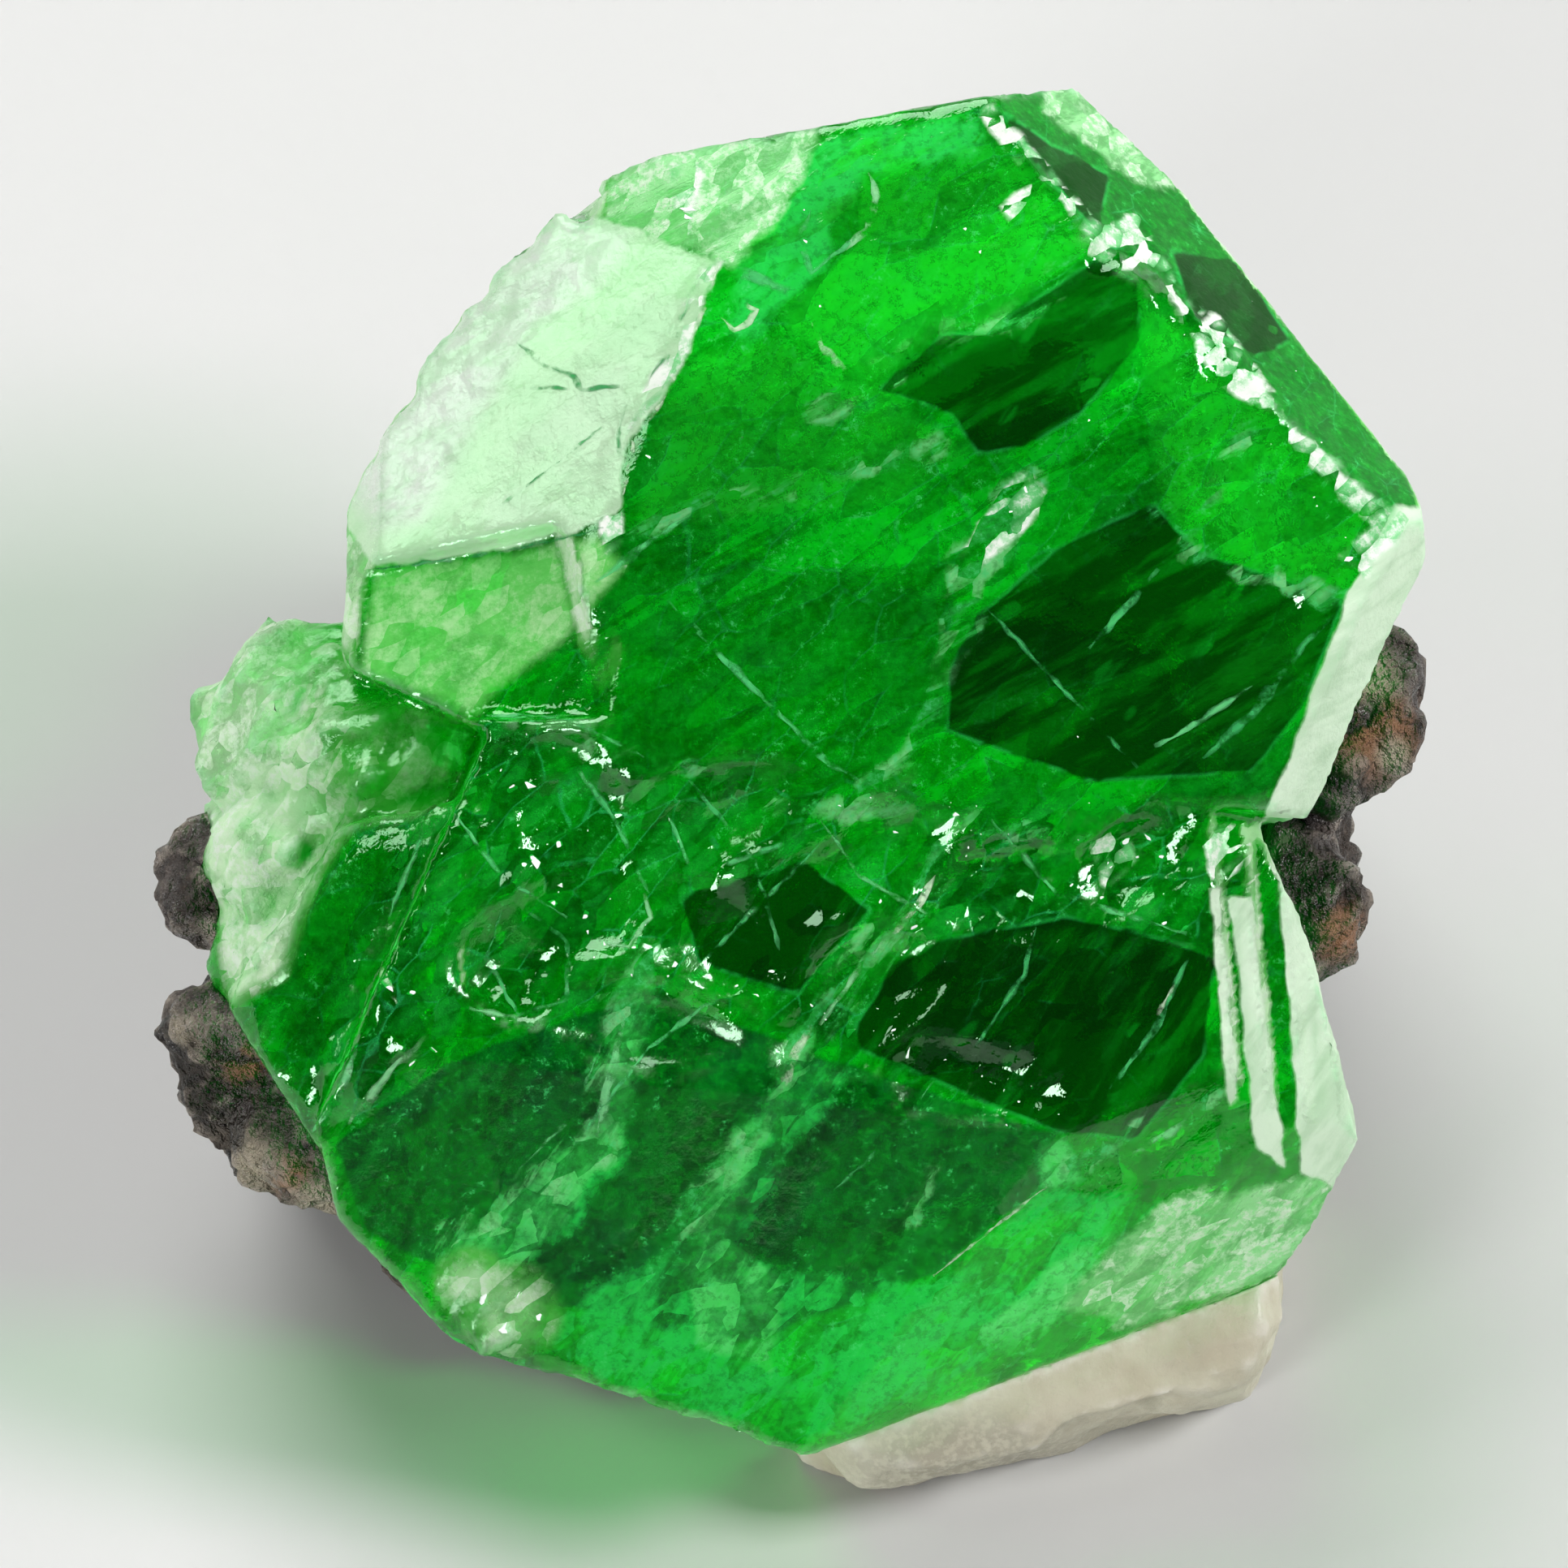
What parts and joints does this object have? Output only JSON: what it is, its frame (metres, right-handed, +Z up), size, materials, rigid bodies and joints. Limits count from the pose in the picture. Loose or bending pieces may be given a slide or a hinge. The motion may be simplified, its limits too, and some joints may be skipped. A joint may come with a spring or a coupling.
{
  "type": "tsavorite garnet specimen",
  "caption": "Gemmy green tsavorite crystal group with flat faces, growth ledges and shell-like fractures, lying on dark graphitic and cream rock with a flat underside.",
  "frame": {"origin": "middle of the specimen's footprint, at the flat underside of its rock", "axes": "+Z up from the flat underside; the show side faces up and towards -Y, leaning back 30 degrees from straight up; +X to the viewer's right"},
  "size_m": [0.0238, 0.023, 0.018],
  "materials": {
    "garnet": "vivid green, clear and glassy with frosted pale faces",
    "graphite_rock": "dark grey to brown, rough, with a dull sheen",
    "calcite_rock": "cream to pinkish grey, fine grained"
  },
  "bodies": {
    "root": {"tsavorite_crystal": "garnet", "graphite_matrix": "graphite_rock", "calcite_matrix": "calcite_rock"}
  },
  "joints": []
}
